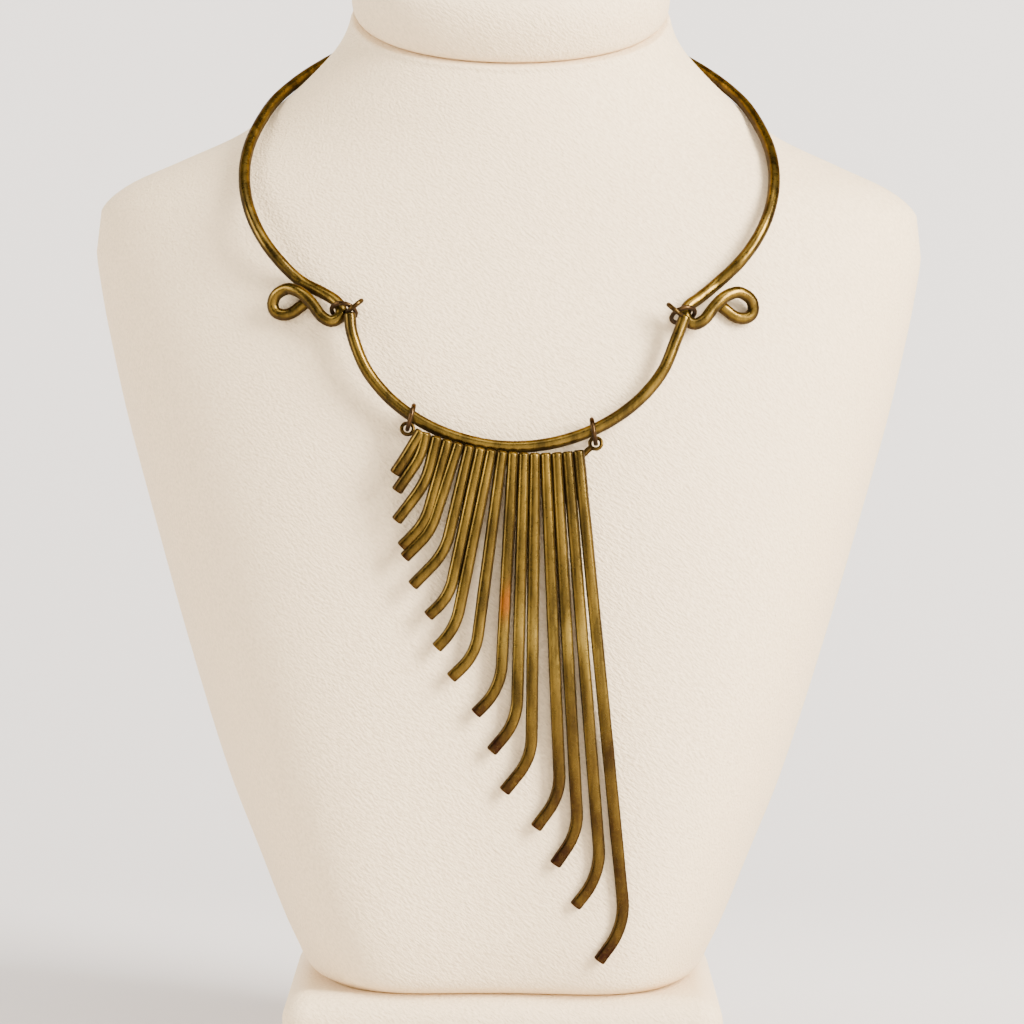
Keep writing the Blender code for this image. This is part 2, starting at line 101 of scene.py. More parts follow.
# The collar's neck wire: its middle line is an oval from the front, flatter above its widest line than
# below, which ends in a hook on each side
WIRE = 2.8 * MM
COLLAR_WIDTH = 137.9 * MM
COLLAR_ABOVE_WIDEST = 42.5 * MM
COLLAR_BELOW_WIDEST = 45.4 * MM
NAPE_BELOW_SEAM = 16.1 * MM
NECK_STEPS = 16
BACK_EASE = 1.7
STRAND_END = math.radians(-39)
STRAND_LIFT = 0.2
HOOK_REACH = 9.6 * MM
HOOK_DROP = 7.3 * MM
HOOK_LENGTH = 17.8 * MM
HOOK_SHIFT = 1.3 * MM

# The front arc: a bow a little more pointed than an oval, whose ends flare out
ARC_DROP = 33 * MM
ARC_ROUNDNESS = 1.93
ARC_ENDS_INWARDS = (2.3 * MM, 0.3 * MM)
ARC_FLARES = (0.2 * MM, 1.4 * MM)
ARC_BELOW_HOOKS = 1.4 * MM
ARC_STANDOFF = 6.2 * MM
ARC_LIFT = 0.8
END_EYE_OUTER = 5.6 * MM
END_EYE_WIRE = 1.2 * MM
END_EYE_ANGLE = math.radians(38)

# Jump rings
RING_WIRE = 1.2 * MM
RING_OUTER = 7.5 * MM
BIB_RING_X = (-24.4 * MM, 21.9 * MM)
BIB_RING_LEAN = (math.radians(15), math.radians(10))
BIB_RING_SWING = math.radians(20)

# The bib of rods
ROD_COUNT = 16
ROD_PITCH = 2.77 * MM
ROD_TOP_WIDTH = 2.6 * MM
ROD_LOW_WIDTH = 3.3 * MM
ROD_LOW_THICKNESS = 1.8 * MM
FLATTENING = 80 * MM
LONGEST_ROD = 131 * MM
FIRST_ROD_X = -23.4 * MM
FIRST_ROD_CROWDING = 1.5 * MM
TOP_LINE_X = 7 * MM
TOP_LINE_BELOW_ARC = 1.9 * MM
TOP_LINE_RADIUS = 76 * MM
BAR_DIAMETER = 1.6 * MM
BAR_BELOW_TOPS = 1.6 * MM
BIB_EYE_OUTER = 4 * MM
BIB_EYE_WIRE = 1.0 * MM
SOLDER = 0.25 * MM

# Heights that follow from the sizes above, from the neck's seam down to the rods
SEAM_Z = BASE_HEIGHT + GAP + FORM_HEIGHT
NAPE_Z = SEAM_Z + BACK_DEPTH * math.tan(NECK_TILT) - NAPE_BELOW_SEAM
COLLAR_WIDEST_Z = NAPE_Z - COLLAR_ABOVE_WIDEST
STRAND_END_X = COLLAR_WIDTH / 2 * math.cos(STRAND_END)
STRAND_END_Z = COLLAR_WIDEST_Z + COLLAR_BELOW_WIDEST * math.sin(STRAND_END)
HOOK_X = STRAND_END_X - HOOK_REACH
HOOK_Z = STRAND_END_Z - HOOK_DROP
ARC_TOP_Z = HOOK_Z - ARC_BELOW_HOOKS
TOP_LINE_Z = ARC_TOP_Z - ARC_DROP - TOP_LINE_BELOW_ARC

# Sections of the form, as shares of its height, half width, chest depth and back depth.
# Fullness above 0 squares a section towards its corners, and below 0 draws it in over the shoulders.
FORM_SECTIONS = (
    # height, width, chest, back, chest fullness, back fullness
    (0.000, 0.445, 0.915, 0.66, 0.70, 0.4),
    (0.008, 0.477, 0.960, 0.71, 0.70, 0.4),
    (0.028, 0.502, 0.985, 0.76, 0.69, 0.4),
    (0.058, 0.535, 1.000, 0.80, 0.67, 0.4),
    (0.117, 0.590, 0.998, 0.85, 0.64, 0.4),
    (0.206, 0.672, 0.985, 0.90, 0.58, 0.4),
    (0.345, 0.773, 0.958, 0.95, 0.48, 0.4),
    (0.484, 0.864, 0.920, 0.98, 0.35, 0.4),
    (0.573, 0.920, 0.882, 1.00, 0.20, 0.4),
    (0.643, 0.957, 0.835, 1.00, 0.10, 0.4),
    (0.702, 0.984, 0.770, 0.99, 0.00, 0.3),
    (0.757, 1.000, 0.710, 0.98, -0.12, 0.2),
    (0.792, 0.985, 0.675, 0.97, -0.20, 0.1),
    (0.817, 0.920, 0.650, 0.96, -0.25, 0.0),
    (0.841, 0.800, 0.625, 0.945, -0.27, -0.1),
    (0.871, 0.651, 0.595, 0.93, -0.25, -0.1),
    (0.906, 0.547, 0.557, 0.92, -0.15, -0.05),
    (0.941, 0.462, 0.510, 0.92, -0.02, 0.0),
    (0.970, 0.408, 0.470, 0.94, 0.00, 0.0),
    (1.000, 0.384, 0.440, 0.97, 0.00, 0.0),
    (1.090, 0.365, 0.420, 1.00, 0.00, 0.0),
)

# Side outline of the padded cap, as shares of its thickness and of the neck's outline
CAP_PROFILE = (
    # rise, width
    (0.00, 0.945),
    (0.05, 0.975),
    (0.20, 0.995),
    (0.50, 0.995),
    (0.78, 0.960),
    (0.93, 0.890),
    (1.00, 0.770),
    (1.03, 0.350),
)

# A hook from its strand round the turn, back up the tail and round the curl to the tip. The shares are
# of the hook's length, measured out and up from the turn, and the lift off the form is in wire widths.
HOOK_ROUTE = (
    # out, up, lift
    (0.204, 0.199, 0.45),
    (0.061, 0.100, 0.58),
    (0.000, -0.005, 0.66),
    (0.028, -0.116, 0.74),
    (0.144, -0.171, 0.85),
    (0.287, -0.094, 1.02),
    (0.414, 0.072, 1.18),
    (0.547, 0.204, 1.26),
    (0.674, 0.271, 1.18),
    (0.800, 0.287, 0.98),
    (0.945, 0.204, 0.70),
    (1.000, 0.077, 0.42),
    (0.967, -0.039, 0.20),
    (0.856, -0.088, 0.10),
    (0.729, -0.061, 0.00),
    (0.613, 0.022, 0.00),
    (0.541, 0.077, 0.00),
)

# The middle of the opening inside a hook's turn, in the same shares
HOOK_OPENING = (0.150, 0.011, 0.55)

# The joint on the left and the right, inwards, forwards and up in shares of the jump ring's width: the
# middle of the ring from the hook's opening, the ring's axis, and the middle of the arc's eye from its end
JOINTS = {
    -1: ((0.444, 0.191, -0.096), (0.26, -0.91, 1.0), (0.160, -0.107, 0.317)),
    1: ((0.428, 0.256, -0.125), (0.39, -0.72, 1.0), (0.315, -0.003, 0.259)),
}

# Rods from the shortest to the longest: the angle of the straight part and of the tip, towards the
# wearer's right of straight down, and the lengths of both and the bend's radius as shares of the longest
RODS = (
    # lean, turned, straight, tip, bend
    (31.0, 33, 0.063, 0.026, 0.08),
    (12.8, 34, 0.019, 0.055, 0.13),
    (13.0, 37, 0.051, 0.056, 0.17),
    (15.0, 44, 0.133, 0.033, 0.115),
    (17.5, 44, 0.149, 0.042, 0.115),
    (12.6, 44, 0.172, 0.051, 0.13),
    (11.5, 46, 0.256, 0.021, 0.107),
    (11.0, 44, 0.311, 0.011, 0.13),
    (7.1, 46, 0.356, 0.025, 0.107),
    (2.6, 45, 0.408, 0.018, 0.122),
    (1.1, 40, 0.474, 0.030, 0.122),
    (0.2, 39, 0.547, 0.040, 0.115),
    (-2.9, 36, 0.618, 0.037, 0.115),
    (-3.7, 34, 0.692, 0.037, 0.115),
    (-5.0, 38, 0.763, 0.024, 0.137),
    (-6.1, 36, 0.869, 0.031, 0.137),
)

# Leatherette: its pebbles, the grooves between them with their own tone and painted shade, warmer patches,
# and the seam's painted shade
LEATHER_LIGHT = (0.86, 0.665, 0.41, 1)
LEATHER_DARK = (0.73, 0.55, 0.33, 1)
LEATHER_WARM = (0.79, 0.605, 0.37, 1)
LEATHER_SEAM_SHADE = (0.48, 0.35, 0.23, 1)

# Antiqued brass: bare, under a thin patina, under a thick one and in the painted shade of flanks, as a
# painted highlight, coppery, darkened, and its tint at a grazing angle
BRASS_GOLD = (0.175, 0.104, 0.018, 1)
BRASS_OLIVE = (0.062, 0.038, 0.009, 1)
BRASS_BROWN = (0.008, 0.004, 0.002, 1)
BRASS_HIGHLIGHT = (0.29, 0.19, 0.036, 1)
BRASS_COPPERY = (0.27, 0.07, 0.008, 1)
BRASS_DARKENED = (0.026, 0.0095, 0.005, 1)
BRASS_EDGE = (0.60, 0.44, 0.24, 1)

# The jump rings' darker bronze, in the same order
BRONZE_GOLD = (0.085, 0.045, 0.017, 1)
BRONZE_OLIVE = (0.035, 0.019, 0.008, 1)
BRONZE_BROWN = (0.011, 0.0055, 0.003, 1)

# The paper under and behind the bust, in its darker and lighter places
PAPER_DARK = (0.73, 0.685, 0.65, 1)
PAPER_LIGHT = (0.77, 0.725, 0.69, 1)


class Shader:
    """A Principled material and short calls that add nodes to it."""

    def __init__(self, name):
        self.material = bpy.data.materials.new(name)
        self.material.use_nodes = True
        self.tree = self.material.node_tree
        self.surface = self.tree.nodes["Principled BSDF"]
        self.place = self.add("ShaderNodeTexCoord").outputs["Object"]

    def add(self, kind, inputs=(), **settings):
        node = self.tree.nodes.new(kind)
        for key, value in settings.items():
            setattr(node, key, value)
        for socket, value in dict(inputs).items():
            if isinstance(value, bpy.types.NodeSocket):
                self.tree.links.new(value, node.inputs[socket])
            else:
                node.inputs[socket].default_value = value
        return node

    def slanted(self, stretch, lean):
        """Coordinates drawn out along a line that leans from upright towards the upper right."""
        node = self.add("ShaderNodeMapping", {"Vector": self.place, "Scale": (1, 1, stretch),
                                              "Rotation": (0, math.radians(lean), 0)}, vector_type="TEXTURE")
        return node.outputs["Vector"]

    def noise(self, scale, detail=2.0, roughness=0.5, vector=None):
        node = self.add("ShaderNodeTexNoise", {"Vector": vector or self.place, "Scale": scale,
                                               "Detail": detail, "Roughness": roughness})
        return node.outputs["Fac"]

    def cells(self, scale, vector=None):
        node = self.add("ShaderNodeTexVoronoi", {"Vector": vector or self.place, "Scale": scale})
        return node.outputs["Distance"]

    def remap(self, value, low, high, to_low=0.0, to_high=1.0):
        node = self.add("ShaderNodeMapRange", {"Value": value, "From Min": low, "From Max": high,
                                               "To Min": to_low, "To Max": to_high})
        return node.outputs["Result"]

    def math(self, operation, a, b):
        return self.add("ShaderNodeMath", {0: a, 1: b}, operation=operation).outputs[0]

    def mix(self, share, a, b, blend="MIX"):
        node = self.add("ShaderNodeMix", data_type="RGBA", blend_type=blend)
        for socket, value in ((0, share), (6, a), (7, b)):
            if isinstance(value, bpy.types.NodeSocket):
                self.tree.links.new(value, node.inputs[socket])
            else:
                node.inputs[socket].default_value = value
        return node.outputs[2]

    def attribute(self, name):
        return self.add("ShaderNodeAttribute", attribute_name=name).outputs["Fac"]

    def bump(self, height, distance, strength=1.0, under=None):
        inputs = {"Height": height, "Distance": distance, "Strength": strength}
        if under is not None:
            inputs["Normal"] = under
        return self.add("ShaderNodeBump", inputs).outputs["Normal"]

    def back_seam(self):
        """A narrow line down the middle of the back."""
        parts = self.add("ShaderNodeSeparateXYZ", {0: self.place})
        line = self.remap(self.math("ABSOLUTE", parts.outputs["X"], 0), 0.00025, 0.0009, 1.0, 0.0)
        return self.math("MULTIPLY", line, self.remap(parts.outputs["Y"], 0.018, 0.022))

    def clear_from_behind(self):
        """The surface shows from its front only."""
        sides = self.add("ShaderNodeNewGeometry").outputs["Backfacing"]
        clear = self.add("ShaderNodeBsdfTransparent").outputs["BSDF"]
        both = self.add("ShaderNodeMixShader", {0: sides, 1: self.surface.outputs["BSDF"], 2: clear})
        self.tree.links.new(both.outputs[0], self.tree.nodes["Material Output"].inputs["Surface"])

    def plug(self, socket, value):
        if isinstance(value, bpy.types.NodeSocket):
            self.tree.links.new(value, self.surface.inputs[socket])
        else:
            self.surface.inputs[socket].default_value = value


def leatherette(name, seam=False):
    """Matte cream leatherette: fine pebbles drawn out along a slant that runs down to the right."""
    shader = Shader(name)
    slant = shader.slanted(2.2, -52)
    grain = shader.noise(1800, 2, 0.55, slant)
    pebbles = shader.cells(1300, slant)
    # The colour darkens where the grain's bump sinks: partly the cover's own tone, partly painted shade in
    # the hollows.
    color = shader.mix(shader.remap(grain, 0.35, 0.65), LEATHER_DARK, LEATHER_LIGHT)
    patches = shader.remap(shader.noise(14, 2), 0.4, 0.7, 0.0, 0.45)
    color = shader.mix(patches, color, LEATHER_WARM)
    height = grain
    if seam:
        groove = shader.back_seam()
        # Painted shade: the seam's groove is drawn darker.
        color = shader.mix(shader.math("MULTIPLY", groove, 0.45), color, LEATHER_SEAM_SHADE)
        height = shader.math("SUBTRACT", grain, shader.math("MULTIPLY", groove, 2.0))
    shader.plug("Base Color", color)
    shader.plug("Roughness", shader.remap(grain, 0.2, 0.8, 0.66, 0.54))
    shader.plug("Specular IOR Level", 0.3)
    fine = shader.bump(pebbles, 0.0002, 0.5)
    shader.plug("Normal", shader.bump(height, 0.0005, 0.8, fine))
    return shader.material


def antique_brass(name, gold=BRASS_GOLD, olive=BRASS_OLIVE, brown=BRASS_BROWN):
    """Brass with a brown and olive patina, buffed bright where it stands proud, painted dark and dull on its
    flanks as shade, and carrying a painted highlight band.
    """
    shader = Shader(name)
    streaks = shader.slanted(5.0, 0)
    blotches = shader.noise(260, 4, 0.6, streaks)
    specks = shader.noise(900, 3, 0.6)
    rub_and_flank_shade = shader.attribute("rub_and_flank_shade")
    base = shader.mix(shader.remap(blotches, 0.38, 0.62), olive, gold)
    base = shader.mix(shader.remap(specks, 0.70, 0.75, 0.0, 0.6), base, brown)
    # Painted highlight: a patchy bright band, set per vertex, across the long rods' fronts.
    patchy = shader.remap(blotches, 0.42, 0.62, 0.1, 1.0)
    highlight_band = shader.math("MULTIPLY", shader.attribute("highlight_band"), patchy)
    base = shader.mix(highlight_band, base, BRASS_HIGHLIGHT)
    base = shader.mix(shader.attribute("copper"), base, BRASS_COPPERY)
    darkening = shader.math("MULTIPLY", shader.attribute("darkening"), shader.remap(specks, 0.3, 0.6, 0.7, 1.0))
    base = shader.mix(darkening, base, BRASS_DARKENED)
    # Painted shade: the flanks and backs turn patina brown and lose their metal and gloss, as the per-vertex
    # share says.
    base = shader.mix(rub_and_flank_shade, brown, base)
    shader.plug("Base Color", base)
    shader.plug("Metallic", shader.remap(rub_and_flank_shade, 0.1, 0.6))
    shader.plug("Specular IOR Level", 0.15)
    shader.plug("Specular Tint", BRASS_EDGE)
    rough = shader.remap(specks, 0.35, 0.75, 0.25, 0.38)
    dull = shader.remap(rub_and_flank_shade, 0.0, 0.7, 0.35, 0.0)
    shader.plug("Roughness", shader.math("ADD", rough, dull))
    pits = shader.bump(shader.cells(520), 0.00006, 0.2)
    dents = shader.noise(300, 2, 0.5, streaks)
    shader.plug("Normal", shader.bump(dents, 0.00016, 0.5, pits))
    return shader.material


def link_mesh(mesh, name, material, slot, *replaced):
    bmesh.ops.recalc_face_normals(mesh, faces=mesh.faces)
    data = bpy.data.meshes.new(name)
    mesh.to_mesh(data)
    mesh.free()
    data.materials.append(material)
    data.shade_smooth()
    data.set_sharp_from_angle(angle=math.radians(50))
    piece = bpy.data.objects.new(name, data)
    bpy.context.scene.collection.objects.link(piece)
    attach(piece, "root")
    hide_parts(*replaced)
    return piece


def bridge(mesh, lower, upper):
    for i in range(len(lower)):
        j = (i + 1) % len(lower)
        mesh.faces.new((lower[i], lower[j], upper[j], upper[i]))


def skin(mesh, rings, closed=False):
    """Quads between rings of points, closed on themselves or with a flat face at each end."""
    loops = [[mesh.verts.new(point) for point in ring] for ring in rings]
    for lower, upper in zip(loops, loops[1:]):
        bridge(mesh, lower, upper)
    if closed:
        bridge(mesh, loops[-1], loops[0])
    else:
        mesh.faces.new(reversed(loops[0]))
        mesh.faces.new(loops[-1])
    return loops


def smooth_path(points, step):
    """Catmull-Rom curve through the points, with no span longer than the step."""
    ends = [2 * points[0] - points[1], *points, 2 * points[-1] - points[-2]]
    path = [points[0]]
    for a, b, c, d in zip(ends, ends[1:], ends[2:], ends[3:]):
        pieces = max(2, math.ceil((c - b).length / step))
        for i in range(1, pieces + 1):
            t = i / pieces
            path.append(0.5 * (2 * b + (c - a) * t + (2 * a - 5 * b + 4 * c - d) * t**2
                               + (3 * b - a - 3 * c + d) * t**3))
    return path


def smoothstep(low, high, value):
    t = min(1, max(0, (value - low) / (high - low)))
    return t * t * (3 - 2 * t)


def section_at(height):
    rows = FORM_SECTIONS
    upper = next(i for i, row in enumerate(rows) if i and (height <= row[0] or i == len(rows) - 1))
    low, high = rows[upper - 1], rows[upper]
    span = high[0] - low[0]
    t = (height - low[0]) / span
    values = []
    for column in range(1, len(low)):
        slopes = []
        for i in (upper - 1, upper):
            before, after = rows[max(i - 1, 0)], rows[min(i + 1, len(rows) - 1)]
            slopes.append((after[column] - before[column]) / (after[0] - before[0]) * span)
        start, end = low[column], high[column]
        values.append(start + slopes[0] * t + (3 * (end - start) - 2 * slopes[0] - slopes[1]) * t**2
                      + (2 * (start - end) + slopes[0] + slopes[1]) * t**3)
    return values


def form_point(turn, height):
    """A point of the form's skin: the turn runs round it from the middle of the chest."""
    width, chest, back, chest_fullness, back_fullness = section_at(height)
    side = math.sin(turn)
    ahead = math.cos(turn)
    depth = chest * CHEST_DEPTH if ahead > 0 else back * BACK_DEPTH
    fullness = chest_fullness if ahead > 0 else back_fullness
    return Vector((width * SHOULDER_WIDTH / 2 * side,
                   WIDEST_LINE_Y - depth * ahead * (1 + fullness * side**2),
                   BASE_HEIGHT + GAP + height * FORM_HEIGHT))


SEAM_CENTRE = Vector((0, WIDEST_LINE_Y, SEAM_Z))
SEAM_NORMAL = Vector((0, -math.sin(NECK_TILT), math.cos(NECK_TILT)))


def seam_height(turn, below):
    """Height at which a column of the form comes within a distance of the neck's slanting seam."""
    low, high = 0.8, 1.09
    for _ in range(30):
        middle = (low + high) / 2
        if (form_point(turn, middle) - SEAM_CENTRE).dot(SEAM_NORMAL) < -below:
            low = middle
        else:
            high = middle
    return low


def form_turns():
    """Angles of the columns, closer together at the shoulders, where the skin curves most."""
    turns = []
    for i in range(FORM_COLUMNS):
        turn = 2 * math.pi * i / FORM_COLUMNS
        turns.append(turn + SPREAD * math.sin(2 * turn))
    return turns


def make_form():
    turns = form_turns()
    heights = []
    for low, high in zip(FORM_SECTIONS, FORM_SECTIONS[1:]):
        if high[0] < TOP_ROWS_START:
            heights += [low[0] + (high[0] - low[0]) * i / 5 for i in range(5)]
    heights.append(TOP_ROWS_START)
    rings = [[form_point(turn, height) for turn in turns] for height in heights]
    tops = [seam_height(turn, SEAM_ROUNDING) for turn in turns]
    for i in range(1, 49):
        share = i / 48
        rings.append([form_point(turn, heights[-1] + (top - heights[-1]) * share)
                      for turn, top in zip(turns, tops)])
    edge = rings[-1]
    middle = sum(edge, Vector()) / len(edge)
    for i in range(1, 7):
        angle = math.pi / 2 * i / 6
        ring = []
        for point in edge:
            inward = (middle - point).normalized()
            ring.append(point + inward * SEAM_ROUNDING * (1 - math.cos(angle))
                        + SEAM_NORMAL * SEAM_ROUNDING * math.sin(angle))
        rings.append(ring)
    mesh = bmesh.new()
    skin(mesh, rings)
    cover = leatherette("form_cover", seam=True)
    return link_mesh(mesh, "padded_form", cover, "form_leatherette", "bust_form")


def make_cap():
    turns = form_turns()
    outline = [form_point(turn, seam_height(turn, 0)) for turn in turns]
    middle = sum(outline, Vector()) / len(outline)
    profile = smooth_path([Vector((width, 0, rise)) for rise, width in CAP_PROFILE], 0.02)
    rings = []
    for share in profile:
        lift = SEAM_NORMAL * (GAP + share.z * CAP_THICKNESS)
        rings.append([middle + (point - middle) * share.x + lift for point in outline])
    mesh = bmesh.new()
    skin(mesh, rings)
    return link_mesh(mesh, "padded_cap", leatherette("cap_cover"), "cap_leatherette", "neck_cap")


def make_base():
    mesh = bmesh.new()
    bmesh.ops.create_cube(mesh, size=1)
    bmesh.ops.scale(mesh, vec=(BASE_WIDTH, BASE_DEPTH, BASE_HEIGHT), verts=mesh.verts)
    bmesh.ops.translate(mesh, vec=UP * BASE_HEIGHT / 2, verts=mesh.verts)
    rounded = [edge for edge in mesh.edges if any(vert.co.z > BASE_HEIGHT / 2 for vert in edge.verts)]
    bmesh.ops.bevel(mesh, geom=rounded, offset=BASE_ROUNDING, segments=12, profile=0.5, affect="EDGES")
    return link_mesh(mesh, "covered_base", leatherette("base_cover"), "base_leatherette", "base_block")


def rub_and_shade_flanks(layers, vert, normal, seed):
    """Metal is buffed bright in front and above; its flanks and back are painted dark as shade."""
    facing = normal.dot(Vector((0.12, -0.93, 0.34)))
    uneven = 0.1 * noise.noise(vert.co * 180 + Vector((seed, 0, 0)))
    vert[layers["rub_and_flank_shade"]] = SHADED_FLANK_METAL + (1 - SHADED_FLANK_METAL) * smoothstep(0.5, 0.9, facing + uneven)


def new_metal():
    mesh = bmesh.new()
    layers = {name: mesh.verts.layers.float.new(name) for name in ("rub_and_flank_shade", "highlight_band", "darkening", "copper")}
    return mesh, layers


def add_wire(mesh, layers, points, width, sides=20, seed=0.0, dome=0.55, dark=0.0):
    """Round wire along a path, slightly uneven as hand-drawn wire is, with domed ends."""
    first = (points[0] - points[1]).normalized()
    last = (points[-1] - points[-2]).normalized()
    stations = [(point, width / 2) for point in points]
    for i in range(1, 6):
        angle = math.pi / 2 * i / 6
        reach = width / 2 * dome * math.sin(angle)
        stations.insert(0, (points[0] + first * reach, width / 2 * math.cos(angle)))
        stations.append((points[-1] + last * reach, width / 2 * math.cos(angle)))
    across = first.orthogonal().normalized()
    rings, normals = [], []
    for i, (point, radius) in enumerate(stations):
        before, after = stations[max(i - 1, 0)][0], stations[min(i + 1, len(stations) - 1)][0]
        tangent = (after - before).normalized()
        across = (across - tangent * across.dot(tangent)).normalized()
        other = tangent.cross(across)
        radius *= 1 + 0.02 * noise.noise(point * 260 + Vector((0, seed, 0)))
        around = [across * math.cos(2 * math.pi * k / sides) + other * math.sin(2 * math.pi * k / sides)
                  for k in range(sides)]
        rings.append([point + direction * radius for direction in around])
        normals.append(around)
    for loop, around in zip(skin(mesh, rings), normals):
        for vert, normal in zip(loop, around):
            rub_and_shade_flanks(layers, vert, normal, seed)
            vert[layers["darkening"]] = dark


def add_eye(mesh, layers, centre, axis, outer, wire, steps=48, sides=14):
    """Closed eye of round wire about an axis."""
    axis = axis.normalized()
    rings, normals = [], []
    for outward in ring_path(Vector(), axis, 1, count=steps):
        around = [outward * math.cos(2 * math.pi * k / sides) + axis * math.sin(2 * math.pi * k / sides)
                  for k in range(sides)]
        rings.append([centre + outward * (outer - wire) / 2 + direction * wire / 2 for direction in around])
        normals.append(around)
    for loop, around in zip(skin(mesh, rings, closed=True), normals):
        for vert, normal in zip(loop, around):
            rub_and_shade_flanks(layers, vert, normal, 0)
            vert[layers["darkening"]] = DARK_FITTINGS


def ring_path(centre, axis, radius, cut=0.0, turn=0.0, count=64):
    """Points round a ring. A cut ring leaves a hairline gap where its wire was sawn."""
    across = Matrix.Rotation(turn, 3, axis) @ axis.orthogonal().normalized()
    other = axis.cross(across)
    steps = count - 1 if cut else count
    path = []
    for i in range(count):
        angle = cut / 2 + (2 * math.pi - cut) * i / steps
        path.append(centre + (across * math.cos(angle) + other * math.sin(angle)) * radius)
    return path


def solid_surface(node):
    data = bpy.data.objects[node].data
    corners = [vert.co for vert in data.vertices]
    return BVHTree.FromPolygons(corners, [face.vertices for face in data.polygons])


def rest_on_form(surface, point, clearance):
    for _ in range(3):
        nearest, normal, _, _ = surface.find_nearest(point)
        height = (point - nearest).dot(normal)
        if height < clearance:
            point = point + normal * (clearance - height)
    return point


def chest_y(surface, x, z):
    hit, _, _, _ = surface.ray_cast(Vector((x, -2 * CHEST_DEPTH, z)), -FORWARD)
    return hit.y


def wire_lift(surface, x, z, lift):
    start = Vector((x, chest_y(surface, x, z), z))
    clearance = WIRE / 2 + GAP + lift * WIRE
    _, normal, _, _ = surface.find_nearest(start)
    return start + FORWARD * clearance / max(normal.dot(FORWARD), 0.5)


def hook_point(surface, side, row):
    out, up, lift = row
    x = side * (HOOK_X + out * HOOK_LENGTH) + HOOK_SHIFT
    return wire_lift(surface, x, HOOK_Z + up * HOOK_LENGTH, lift)


def neck_wire_half(surface, side):
    """Points of one half of the neck wire from beside the nape to the hook's tip, and the nape's point."""
    start = wire_lift(surface, side * STRAND_END_X, STRAND_END_Z, STRAND_LIFT)
    nape, _, _, _ = surface.ray_cast(Vector((0, 2 * CHEST_DEPTH, NAPE_Z)), FORWARD)
    nape += BACK * (WIRE / 2 + GAP)
    points = []
    for i in range(1, NECK_STEPS):
        turn = math.pi / 2 + (STRAND_END - math.pi / 2) * i / NECK_STEPS
        rise = math.sin(turn) * (COLLAR_ABOVE_WIDEST if turn > 0 else COLLAR_BELOW_WIDEST)
        z = COLLAR_WIDEST_Z + rise
        back = ((z - start.z) / (nape.z - start.z))**BACK_EASE
        point = Vector((side * COLLAR_WIDTH / 2 * math.cos(turn), start.y + back * (nape.y - start.y), z))
        points.append(rest_on_form(surface, point, WIRE / 2 + 1.5 * GAP))
    hook = [hook_point(surface, side, row) for row in HOOK_ROUTE]
    return [*points, start, *hook], nape


def arc_route(surface):
    """The front arc as one flat bow, resting on the chest at its lowest and standing off at its ends."""
    left, right = (side * (HOOK_X - shift) + HOOK_SHIFT for side, shift in zip((-1, 1), ARC_ENDS_INWARDS))
    widest_left, widest_right = left + ARC_FLARES[0], right - ARC_FLARES[1]
    middle, half = (widest_left + widest_right) / 2, (widest_right - widest_left) / 2
    low_y = wire_lift(surface, middle, ARC_TOP_Z - ARC_DROP, ARC_LIFT).y
    top_y = min(chest_y(surface, x, ARC_TOP_Z) for x in (left, right)) - ARC_STANDOFF
    places = [(left, 0)]
    for turn in range(-80, 81, 16):
        side, down = math.sin(math.radians(turn)), math.cos(math.radians(turn))
        places.append((middle + half * math.copysign(abs(side)**(2 / ARC_ROUNDNESS), side),
                       down**(2 / ARC_ROUNDNESS)))
    places.append((right, 0))
    points = [Vector((x, top_y + down * (low_y - top_y), ARC_TOP_Z - down * ARC_DROP)) for x, down in places]
    return [rest_on_form(surface, point, WIRE / 2 + GAP) for point in smooth_path(points, 0.3 * WIRE)]


def inwards(side, row):
    """A row of the joint's table as a vector on one side of the collar."""
    return Vector((-side * row[0], -row[1], row[2])) * RING_OUTER


def point_at_x(route, x):
    a, b = next((a, b) for a, b in zip(route, route[1:]) if a.x <= x <= b.x)
    return a.lerp(b, (x - a.x) / (b.x - a.x))


def hang_ring(arc, x, lean):
    """A ring on the arc: its centre, axis, lowest point and run there."""
    down = Vector((math.copysign(math.sin(lean), x), 0, -math.cos(lean)))
    slack = (RING_OUTER - WIRE) / 2 - RING_WIRE - 1.6 * GAP
    centre = point_at_x(arc, x) + (down + FORWARD).normalized() * slack
    swung = down * math.cos(BIB_RING_SWING) + FORWARD * math.sin(BIB_RING_SWING)
    axis = down.cross(FORWARD).normalized()
    return centre, axis, centre + swung * (RING_OUTER - RING_WIRE) / 2, axis.cross(swung)


def make_neck_wire(surface):
    left, nape = neck_wire_half(surface, -1)
    right, _ = neck_wire_half(surface, 1)
    route = smooth_path([*reversed(left), nape, *right], 0.3 * WIRE)
    mesh, layers = new_metal()
    add_wire(mesh, layers, route, DRAWN_WIRE, sides=24, seed=3.0)
    return link_mesh(mesh, "collar_wire", antique_brass("collar_patina"), "neck_brass", "neck_wire")


def make_arc(arc):
    mesh, layers = new_metal()
    add_wire(mesh, layers, arc, DRAWN_WIRE, sides=24, seed=11.0)
    for side, end in ((-1, arc[0]), (1, arc[-1])):
        axis = Vector((side * math.sin(END_EYE_ANGLE), 0, math.cos(END_EYE_ANGLE)))
        centre = end + inwards(side, JOINTS[side][2])
        add_eye(mesh, layers, centre, axis, END_EYE_OUTER, END_EYE_WIRE)
    return link_mesh(mesh, "breast_arc", antique_brass("arc_patina"), "arc_brass", "front_arc")


